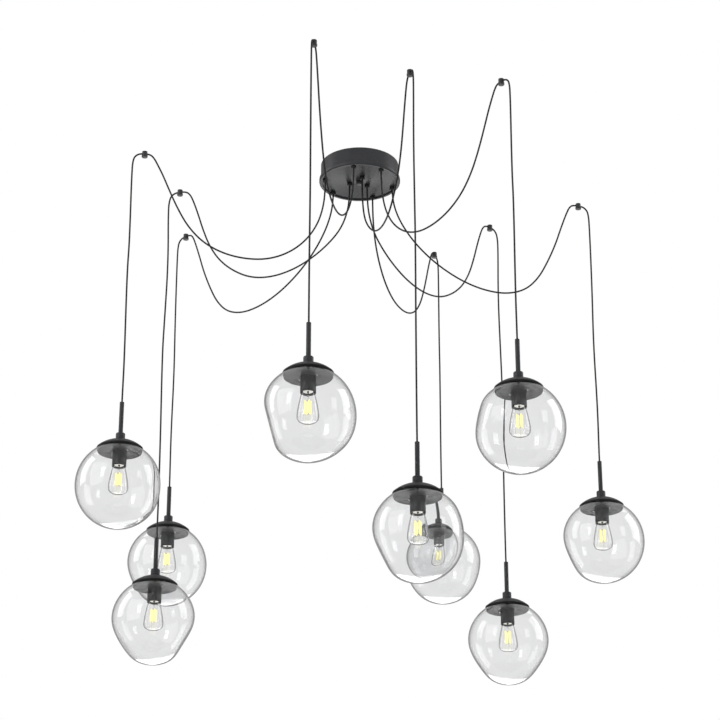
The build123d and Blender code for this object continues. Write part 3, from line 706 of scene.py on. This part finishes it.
def lamp_socket_shape(sizes, glass):
    """Lampholder body inside the cup."""
    holder_top = disc_underside(sizes, glass) - 0.0059
    holder_foot = holder_top - 0.029
    holder = lathe(
        [(0.0, holder_top), (0.0165, holder_top), (0.0165, holder_foot), (0.0136, holder_foot),
         (0.0136, holder_top - 0.003), (0.0, holder_top - 0.003)],
        64,
    )
    return soften(holder, 0.0004)


def pendant_nipple_shape(sizes, glass):
    """Threaded tube through the middle and the nut that holds the lampholder to it."""
    foot = disc_underside(sizes, glass) - 0.0056
    return merged(nipple_shape(foot, -0.0133), hex_nut_shape(0.005, foot))


def clamp_screw_shape(sizes, glass):
    """Round-headed screws that hold the clamp disc."""
    foot = disc_underside(sizes, glass)
    screw = lathe(
        [(0.0, foot - 0.0027), (0.0014, foot - 0.0026), (0.0026, foot - 0.0019), (0.0033, foot - 0.0008),
         (0.0034, foot - GAP), (0.0019, foot - GAP), (0.0019, foot + 0.011), (0.0, foot + 0.011)],
        32,
    )
    return repeated(screw, screw_places())


def dent_depth(dents, bearing, elevation):
    """Depth of a globe's dents together in one direction, angles in degrees."""
    start, end = DENT_FADE
    share = min(1.0, max(0.0, (start - elevation) / (start - end)))
    direction = heading(bearing, elevation)
    total = 0.0
    for dent_bearing, dent_elevation, depth, width in dents:
        away = math.degrees(direction.angle(heading(dent_bearing, dent_elevation)))
        total += depth * math.exp(-(away / width) ** 2)
    return total * share * share * (3 - 2 * share)


def dented_shell(dents, diameter, height, mouth):
    """Ellipsoid with soft dents, cut open at a height."""
    shell = bmesh.new()
    bmesh.ops.create_uvsphere(shell, u_segments=96, v_segments=64, radius=1.0)
    for vert in shell.verts:
        x, y, z = vert.co
        bearing = math.degrees(math.atan2(y, x))
        elevation = math.degrees(math.asin(max(-1.0, min(1.0, z))))
        share = 1 - 2 * dent_depth(dents, bearing, elevation) / bpy.context.scene.pendant_glass.globe_diameter
        vert.co = (x * share, y * share, max(z, math.sin(math.radians(GLOBE_FOOT_ANGLE))))
    bmesh.ops.scale(shell, vec=(diameter / 2, diameter / 2, height / 2), verts=shell.verts)
    bmesh.ops.bisect_plane(
        shell, geom=shell.verts[:] + shell.edges[:] + shell.faces[:], plane_co=(0, 0, mouth),
        plane_no=(0, 0, 1), clear_outer=True,
    )
    return shell


def globe_shape(dents, sizes, glass):
    """Blown-glass globe with its wall and rounded mouth, middle at the origin."""
    mouth = ellipsoid_rise(glass.globe_diameter, glass.globe_height, glass.mouth_diameter / 2)
    outside = dented_shell(dents, glass.globe_diameter, glass.globe_height, mouth)
    inside = dented_shell(
        dents, glass.globe_diameter - 2 * glass.globe_wall, glass.globe_height - 2 * glass.globe_wall, mouth
    )
    bmesh.ops.reverse_faces(inside, faces=inside.faces)
    shell = merged(outside, inside)
    rims = [edge for edge in shell.edges if edge.is_boundary]
    bmesh.ops.bridge_loops(shell, edges=rims)
    return shell


def bulb_shape(glass):
    """Pear-shaped bulb glass from its neck to its rounded end."""
    half = glass.bulb_diameter / 2
    outline = [
        (0.0130, -0.0905), (0.0146, -0.0950), (0.0168, -0.1005), (0.0190, -0.1080), (0.0213, -0.1170),
        (0.0235, -0.1275), (0.0257, -0.1385), (0.0276, -0.1500), (half - 0.0002, -0.1605), (half, -0.1690),
        (half - 0.0012, -0.1745), (half - 0.0045, -0.1790), (half - 0.0105, -0.1824),
        (half - 0.0190, -0.1843), (0.0, -0.18485),
    ]
    skin = lathe(outline, 64)
    wall = 0.0007
    inner = lathe(
        [(max(0.0, radius - wall), height + wall * (radius < 0.027)) for radius, height in outline], 64)
    bmesh.ops.reverse_faces(inner, faces=inner.faces)
    shell = merged(skin, inner)
    bmesh.ops.bridge_loops(shell, edges=[edge for edge in shell.edges if edge.is_boundary])
    return shell


def bulb_base_shape():
    """Screw base with rounded threads."""
    outline = [(0.0, -0.0658), (0.0046, -0.0658), (0.0104, -0.0707), (0.0124, -0.0709)]
    for turn in range(4):
        level = -0.0725 - turn * 0.0036
        outline += [(0.0124, level + 0.0012), (0.0131, level + 0.0004), (0.0131, level - 0.0004),
                    (0.0124, level - 0.0012)]
    outline += [(0.0131, -0.0886), (0.0131, -0.0903), (0.0, -0.0903)]
    return soften(lathe(outline, 64), 0.0002, 2, 25.0)


def neck_disc_shape():
    """White disc across the bulb's neck; its white and glow paint the bright reflection seen in the neck."""
    disc = lathe([(0.0, -0.0968), (0.0130, -0.0968), (0.0136, -0.0972), (0.0136, -0.0977), (0.0, -0.0977)], 48)
    return soften(disc, 0.0002)


def mount_stalk_shape():
    """Dark clamp and stalk under the white neck disc."""
    return lathe([(0.0, -0.0978), (0.0034, -0.0978), (0.0034, -0.0992), (0.0018, -0.1000), (0.0014, -0.1085),
                  (0.0, -0.1090)], 24)


def filament_bearings():
    """Bearings in radians of a bulb's four filaments."""
    return [math.radians(FILAMENT_BEARING + 90 * index) for index in range(4)]


def bulb_mount_shape():
    """Glass bead, centre wire and the spokes that hold the filaments."""
    foot = lathe(
        [(0.0, -0.1092), (0.0022, -0.1096), (0.0026, -0.1108), (0.0020, -0.1122), (0.0, -0.1125)], 32)
    wire = lathe([(0.0, -0.1115), (0.0005, -0.1115), (0.0005, -0.1615), (0.0, -0.1615)], 12)
    spoke = lathe([(0.0, 0.0), (0.0004, 0.0), (0.0004, 0.0079), (0.0, 0.0079)], 8)
    lay_flat = Matrix.Rotation(math.pi / 2, 4, "Y")
    places = [
        Matrix.Translation((0, 0, level)) @ (Matrix.Rotation(bearing, 4, "Z") @ lay_flat)
        for level in (-0.1220, -0.1608) for bearing in filament_bearings()
    ]
    return merged(foot, wire, repeated(spoke, places))


def filament_shape(glass):
    """Four upright filament rods with rounded ends."""
    top = -0.1225
    foot = top - glass.filament_length
    rod = lathe([(0.0, top), (0.0014, top - 0.0002), (0.0020, top - 0.0010), (0.0020, foot + 0.0010),
                 (0.0014, foot + 0.0002), (0.0, foot)], 16)
    return repeated(rod, [
        Matrix.Translation(at_bearing(FILAMENT_CIRCLE_RADIUS, 0.0, bearing)) for bearing in filament_bearings()
    ])


def canopy_shape(sizes):
    """Drum with its rolled bead and the plate set up inside it."""
    wall = sizes.diameter / 2
    bead = sizes.bead_diameter / 2
    foot = -sizes.depth
    inside = wall - sizes.wall
    plate = foot + sizes.plate_recess
    shoulder = foot + sizes.bead_height
    swell = bead - wall
    outline = [
        (wall, 0.0), (wall, shoulder), (wall + swell * 0.30, shoulder - swell * 0.12),
        (wall + swell * 0.70, shoulder - swell * 0.45), (wall + swell * 0.93, shoulder - swell * 0.85),
        (bead, shoulder - swell * 1.3), (bead, foot + 0.0040), (bead - 0.0004, foot + 0.0022),
        (bead - 0.0014, foot + 0.0009), (bead - 0.0032, foot + 0.0001), (bead - 0.0045, foot),
        (inside - 0.0026, foot), (inside - 0.0017, foot + 0.0009), (inside - 0.0016, plate), (0.005, plate),
        (0.005, plate + sizes.wall), (inside, plate + sizes.wall), (inside, 0.0),
    ]
    return soften(lathe(outline, 192, closed=True), 0.0003, 2, 60.0)


def cap_nut_shape(canopy):
    """Nut under the middle of the plate."""
    radius = canopy.cap_nut_diameter / 2
    top = canopy.plate_recess - canopy.depth - GAP
    foot = top - canopy.cap_nut_height
    nut = lathe([(0.0, foot), (radius - 0.0024, foot), (radius - 0.0009, foot + 0.0007),
                 (radius - 0.0002, foot + 0.0018), (radius, foot + 0.0030), (radius, top), (0.0, top)], 64)
    return soften(nut, 0.0003, 2, 50.0)


def canopy_hardware_shape(canopy):
    """Hollow nipple, its lock nut and the ground screw above the plate."""
    foot = canopy.plate_recess - canopy.depth - 0.0076
    nipple = nipple_shape(foot, -GAP)
    nut = hex_nut_shape(0.005, -0.0071)
    screw = lathe([(0.0, -0.0061), (0.0036, -0.0061), (0.0040, -0.0056), (0.0040, -0.0031), (0.0020, -0.0031),
                   (0.0020, -0.0001), (0.0, -0.0001)], 32)
    return merged(nipple, nut, placed(screw, Matrix.Translation((GROUND_SCREW_X, 0.0, 0.0))))


def grip_shape(canopy, cord_diameter):
    """Cord grip below the plate with its lock nut above."""
    bore = cord_diameter / 2 + 0.0004
    body = canopy.grip_diameter / 2
    top = canopy.plate_recess - canopy.depth - GAP
    foot = top - canopy.grip_height
    grip = lathe(
        [(bore, foot), (body - 0.0024, foot), (body - 0.0006, foot + 0.0012), (body, foot + 0.0030),
         (body, top), (0.005, top), (0.005, top + 0.0105), (bore, top + 0.0105)], 48, closed=True)
    nut = hex_nut_shape(0.0051, top + 0.0018)
    return merged(soften(grip, 0.0003, 2, 30.0), nut)


def hook_cap_shape(hook):
    """Lower cap of a ceiling hook."""
    radius = hook.cap_diameter / 2
    top = -hook.barrel_height - GAP
    foot = top - hook.cap_height
    return lathe(
        [(0.0, foot), (radius - 0.0012, foot), (radius - 0.0003, foot + 0.0004), (radius, foot + 0.0012),
         (radius, top - 0.0006), (radius - 0.0006, top), (0.0057, top), (0.0057, top + 0.0015), (0.0, top + 0.0015)],
        48,
    )


# ---------------------------------------------------------------- operators
def recoated(node, material):
    """Gives a node of the frame that stays showing another material."""
    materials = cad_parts[node].data.materials
    materials.clear()
    materials.append(material)


def fit_in_pendants(sizes, pieces, node):
    """Puts pieces of (name, shape, its sizes, finish) in every pendant, in the stead of a node."""
    for number, kind, bearing in arms():
        place = collar_top(number, kind, bearing, sizes.stem_length)
        for name, shape, measures, coat in pieces:
            piece = finished(f"{name}_{number}", shape(*measures), finish(coat), place)
            fitted(piece, f"pendant_{number}", f"{node}_{number}")


class PENDANT_OT_camera(Operator):
    """Sets the camera below and in front of the light, looking up at it"""

    bl_idname = "pendant.camera"
    bl_label = "Camera"

    def execute(self, context):
        data = bpy.data.cameras.new("camera")
        data.sensor_width = 36.0
        data.lens = 108.01
        data.clip_end = 100.0
        camera = in_scene("camera", data)
        camera.location = (0.001, -5.9336, -3.1861)
        camera.rotation_euler = (math.radians(90 + 23.1), 0.0, 0.0)
        context.scene.camera = camera
        return {"FINISHED"}


class PENDANT_OT_cords(Operator):
    """Hangs the swags between canopy and hooks, and the drops from hooks to stems"""

    bl_idname = "pendant.cords"
    bl_label = "Cords"

    def execute(self, context):
        sizes = context.scene.pendant_sizes
        for number, kind, bearing in arms():
            swag = cord_line(f"swag_{number}", swag_points(kind, bearing), sizes.cord_diameter)
            fitted(swag, "ceiling_frame", f"swag_cord_{number}")
            drop = cord_line(f"drop_{number}", drop_points(number, kind, bearing), sizes.cord_diameter)
            fitted(drop, f"cord_{number}", f"drop_cord_{number}")
        return {"FINISHED"}


class PENDANT_OT_canopy(Operator):
    """Turns the canopy pan, its cap nut and the cord grips, and plates the bar above them"""

    bl_idname = "pendant.canopy"
    bl_label = "Canopy"

    def execute(self, context):
        canopy = context.scene.pendant_canopy
        metal = finish("graphite_coat")
        fitted(finished("canopy", canopy_shape(canopy), metal), "ceiling_frame", "canopy_pan")
        for name, shape, coat in (
            ("cap_nut", cap_nut_shape(canopy), metal),
            ("canopy_hardware", canopy_hardware_shape(canopy), finish("bracket_plating")),
        ):
            fitted(finished(name, shape, coat), "ceiling_frame", "canopy_fixings")
        cord = context.scene.pendant_sizes.cord_diameter
        grips = repeated(grip_shape(canopy, cord), arm_places(GRIP_RADIUS))
        fitted(finished("grips", grips, finish("grip_moulding")), "ceiling_frame", "cord_grips")
        recoated("crossbar", finish("bracket_plating"))
        return {"FINISHED"}


class PENDANT_OT_hooks(Operator):
    """Turns the caps of the ceiling hooks and coats their barrels"""

    bl_idname = "pendant.hooks"
    bl_label = "Ceiling hooks"

    def execute(self, context):
        hook = context.scene.pendant_hooks
        metal = finish("graphite_coat")
        caps = repeated(hook_cap_shape(hook), arm_places(HOOK_RADIUS))
        recoated("hook_bases", metal)
        fitted(finished("hook_lower_caps", caps, metal), "ceiling_frame", "hook_caps")
        return {"FINISHED"}


class PENDANT_OT_metalwork(Operator):
    """Turns each pendant's stem, collar and dome cap, and the rubber ring under it"""

    bl_idname = "pendant.metalwork"
    bl_label = "Stems and domes"

    def execute(self, context):
        sizes = context.scene.pendant_sizes
        glass = context.scene.pendant_glass
        fit_in_pendants(sizes, (
            ("dome", metalwork_shape, (sizes,), "graphite_coat"),
            ("seal", gasket_shape, (sizes, glass), "seal_rubber"),
        ), "fitter")
        return {"FINISHED"}


class PENDANT_OT_lampholders(Operator):
    """Fits the clamp disc, its screws and the socket cup in each globe"""

    bl_idname = "pendant.lampholders"
    bl_label = "Lampholders"

    def execute(self, context):
        sizes = context.scene.pendant_sizes
        glass = context.scene.pendant_glass
        both = (sizes, glass)
        fit_in_pendants(sizes, (
            ("clamp_disc", clamp_disc_shape, both, "graphite_coat"),
            ("socket_cup", socket_cup_shape, both, "graphite_coat"),
            ("disc_screws", clamp_screw_shape, both, "screw_plating"),
            ("lamp_socket", lamp_socket_shape, both, "holder_moulding"),
            ("nipple", pendant_nipple_shape, both, "screw_plating"),
        ), "lampholder")
        return {"FINISHED"}


class PENDANT_OT_globes(Operator):
    """Blows the clear globes, each with its own soft dents"""

    bl_idname = "pendant.globes"
    bl_label = "Glass globes"

    def execute(self, context):
        sizes = context.scene.pendant_sizes
        glass = context.scene.pendant_glass
        drop = Matrix.Translation((0, 0, globe_middle(sizes, glass)))
        for number, kind, bearing in arms():
            place = collar_top(number, kind, bearing, sizes.stem_length) @ drop
            shape = globe_shape(GLOBE_DENTS[number], sizes, glass)
            globe = finished(f"globe_{number}", shape, finish("blown_glass"), place, 60.0)
            fitted(globe, f"pendant_{number}", f"glass_globe_{number}")
        return {"FINISHED"}


class PENDANT_OT_bulbs(Operator):
    """Makes each bulb's glass, base, mount and filaments"""

    bl_idname = "pendant.bulbs"
    bl_label = "Bulbs"

    def execute(self, context):
        sizes = context.scene.pendant_sizes
        glass = context.scene.pendant_glass
        fit_in_pendants(sizes, (
            ("bulb_skin", bulb_shape, (glass,), "bulb_skin_glass"),
            ("bulb_shell", bulb_base_shape, (), "screw_plating"),
            ("heat_shield", neck_disc_shape, (), "heat_shield"),
            ("mount_stalk", mount_stalk_shape, (), "holder_moulding"),
            ("bulb_mount", bulb_mount_shape, (), "mount_glass"),
            ("filaments", filament_shape, (glass,), "filament_coat"),
        ), "bulb")
        return {"FINISHED"}


def by_mirroring(tree, plain, mirrored, output):
    """Shows one shader plainly and another in reflections; None is clear."""
    path = add_node(tree, "LightPath")
    depth = add_node(tree, "Math", {1: 0.5}, operation="GREATER_THAN")
    choice = add_node(tree, "MixShader")
    tree.links.new(path.outputs["Glossy Depth"], depth.inputs[0])
    tree.links.new(depth.outputs["Value"], choice.inputs[0])
    for slot, shader in ((1, plain), (2, mirrored)):
        source = shader or add_node(tree, "BsdfTransparent").outputs["BSDF"]
        tree.links.new(source, choice.inputs[slot])
    tree.links.new(choice.outputs["Shader"], output.inputs["Surface"])


def studio_card(name, shape, strength, place=Matrix.Identity(4)):
    """A card of the studio that shows in reflections alone."""
    material, tree, _ = new_finish(name)
    tree.nodes.clear()
    cloth = shades(
        tree, object_noise(tree, 0.8, 2.0), ((0.3, (0.94, 0.94, 0.94)), (0.7, (1.0, 1.0, 1.0))))
    glow = add_node(tree, "Emission", {"Strength": strength})
    output = add_node(tree, "OutputMaterial")
    tree.links.new(cloth, glow.inputs["Color"])
    by_mirroring(tree, None, glow.outputs["Emission"], output)
    card = finished(name, shape, material, place)
    for rays in ("camera", "diffuse", "shadow", "volume_scatter"):
        setattr(card, f"visible_{rays}", False)


def card_shape(width, height):
    """Flat card round the origin, facing up."""
    shape = bmesh.new()
    bmesh.ops.create_grid(shape, x_segments=1, y_segments=1, size=1.0)
    bmesh.ops.scale(shape, vec=(width / 2, height / 2, 1.0), verts=shape.verts)
    return shape


def towards(bearing, elevation, distance):
    """Place of a card that faces the light's middle from a direction in degrees."""
    middle = Vector((0, 0, -1.1))
    flat = math.cos(math.radians(elevation)) * distance
    side = at_bearing(flat, math.sin(math.radians(elevation)) * distance, math.radians(bearing))
    return Matrix.Translation(middle + side) @ (-side).to_track_quat("Z", "Y").to_matrix().to_4x4()


class PENDANT_OT_studio(Operator):
    """Sets up the pale floor, the soft lights, the grey tent with its windows and the white surroundings"""

    bl_idname = "pendant.studio"
    bl_label = "Studio"

    def execute(self, context):
        studio = context.scene.pendant_studio
        floor_shape = bmesh.new()
        bmesh.ops.create_grid(floor_shape, x_segments=8, y_segments=8, size=8.0)
        material, tree, shader = new_finish("pale_floor")
        tree.links.new(
            shades(tree, object_noise(tree, 3.0, 3.0), ((0.3, (0.86, 0.86, 0.86)), (0.7, (0.9, 0.9, 0.9)))),
            shader.inputs["Base Color"],
        )
        shader.inputs["Roughness"].default_value = 0.9
        by_mirroring(tree, shader.outputs["BSDF"], None, tree.nodes["Material Output"])
        floor = finished("floor", floor_shape, material, Matrix.Translation((0, 0, FLOOR_HEIGHT)))
        tent = bmesh.new()
        bmesh.ops.create_uvsphere(tent, u_segments=48, v_segments=24, radius=50.0)
        studio_card("grey_tent", tent, studio.tent)
        outline = ((0.0, 5.5), (3.2, 7.5), (6.2, 12.7), (11.2, 26.3), (11.2, 36.0), (-11.2, 36.0), (-11.2, 26.3),
                   (-6.2, 12.7), (-3.2, 7.5))
        low = bmesh.new()
        low.faces.new([low.verts.new((x, y, -9.0)) for x, y in outline])
        studio_card("low_window", low, 1.6 * studio.windows)
        for name, bearing, elevation, width, height, share in (
            ("left_window", 216.0, 16.0, 4.6, 5.6, 1.0),
            ("side_window", 172.0, 26.0, 2.6, 4.5, 1.5),
            ("right_window", 10.0, 24.0, 3.4, 4.6, 1.5),
        ):
            place = towards(bearing, elevation, 6.5)
            studio_card(name, card_shape(width, height), share * studio.windows, place)
        for name, place, size, power in (
            ("key_light", (-4.2, -4.6, 0.9), 2.6, studio.key),
            ("fill_light", (4.8, -3.0, 0.2), 2.2, studio.fill),
        ):
            data = bpy.data.lights.new(name, "AREA")
            data.shape = "RECTANGLE"
            data.size = size * 0.6
            data.size_y = size
            data.energy = power
            light = in_scene(name, data)
            light.visible_glossy = False
            light.location = place
            light.rotation_euler = (Vector((0, 0, -0.9)) - Vector(place)).to_track_quat("-Z", "Y").to_euler()
        world = bpy.data.worlds.new("surroundings")
        context.scene.world = world
        world.use_nodes = True
        tree = world.node_tree
        tree.nodes.clear()
        path = add_node(tree, "LightPath")
        clear = path.outputs["Is Camera Ray"]
        for ray in ("Is Glossy Ray", "Is Transmission Ray"):
            either = add_node(tree, "Math", operation="MAXIMUM")
            tree.links.new(clear, either.inputs[0])
            tree.links.new(path.outputs[ray], either.inputs[1])
            clear = either.outputs["Value"]
        strength = add_node(tree, "MapRange", {"To Min": studio.room, "To Max": 1.0})
        tree.links.new(clear, strength.inputs["Value"])
        background = add_node(tree, "Background", {"Color": (1.0, 1.0, 1.0, 1.0)})
        tree.links.new(strength.outputs["Result"], background.inputs["Strength"])
        output = add_node(tree, "OutputWorld")
        tree.links.new(background.outputs["Background"], output.inputs["Surface"])
        context.scene.view_settings.view_transform = "Standard"
        context.scene.cycles.max_bounces = 24
        context.scene.cycles.transmission_bounces = 24
        return {"FINISHED"}


OPERATORS = (
    PENDANT_OT_camera, PENDANT_OT_cords, PENDANT_OT_canopy, PENDANT_OT_hooks, PENDANT_OT_metalwork,
    PENDANT_OT_lampholders, PENDANT_OT_globes, PENDANT_OT_bulbs, PENDANT_OT_studio,
)
SETTINGS = (
    ("pendant_canopy", CanopySizes), ("pendant_hooks", HookSizes), ("pendant_sizes", PendantSizes),
    ("pendant_glass", GlassSizes), ("pendant_finishes", Finishes), ("pendant_studio", StudioSettings),
)


class PENDANT_PT_panel(Panel):
    """Lists the pendant's settings and the steps that make it"""

    bl_idname = "PENDANT_PT_panel"
    bl_label = "Cluster pendant"
    bl_space_type = "VIEW_3D"
    bl_region_type = "UI"
    bl_category = "Pendant"

    def draw(self, context):
        for operator in OPERATORS:
            self.layout.operator(operator.bl_idname)
        for name, group in SETTINGS:
            box = self.layout.box()
            for setting in group.__annotations__:
                box.prop(getattr(context.scene, name), setting)


def register():
    for name, group in SETTINGS:
        bpy.utils.register_class(group)
        setattr(bpy.types.Scene, name, PointerProperty(type=group))
    for part in (*OPERATORS, PENDANT_PT_panel):
        bpy.utils.register_class(part)


def unregister():
    for part in reversed((*OPERATORS, PENDANT_PT_panel)):
        bpy.utils.unregister_class(part)
    for name, group in reversed(SETTINGS):
        delattr(bpy.types.Scene, name)
        bpy.utils.unregister_class(group)


def main():
    register()
    for step in OPERATORS:
        getattr(bpy.ops.pendant, step.bl_idname.split(".")[1])()


if __name__ == "__main__":
    main()
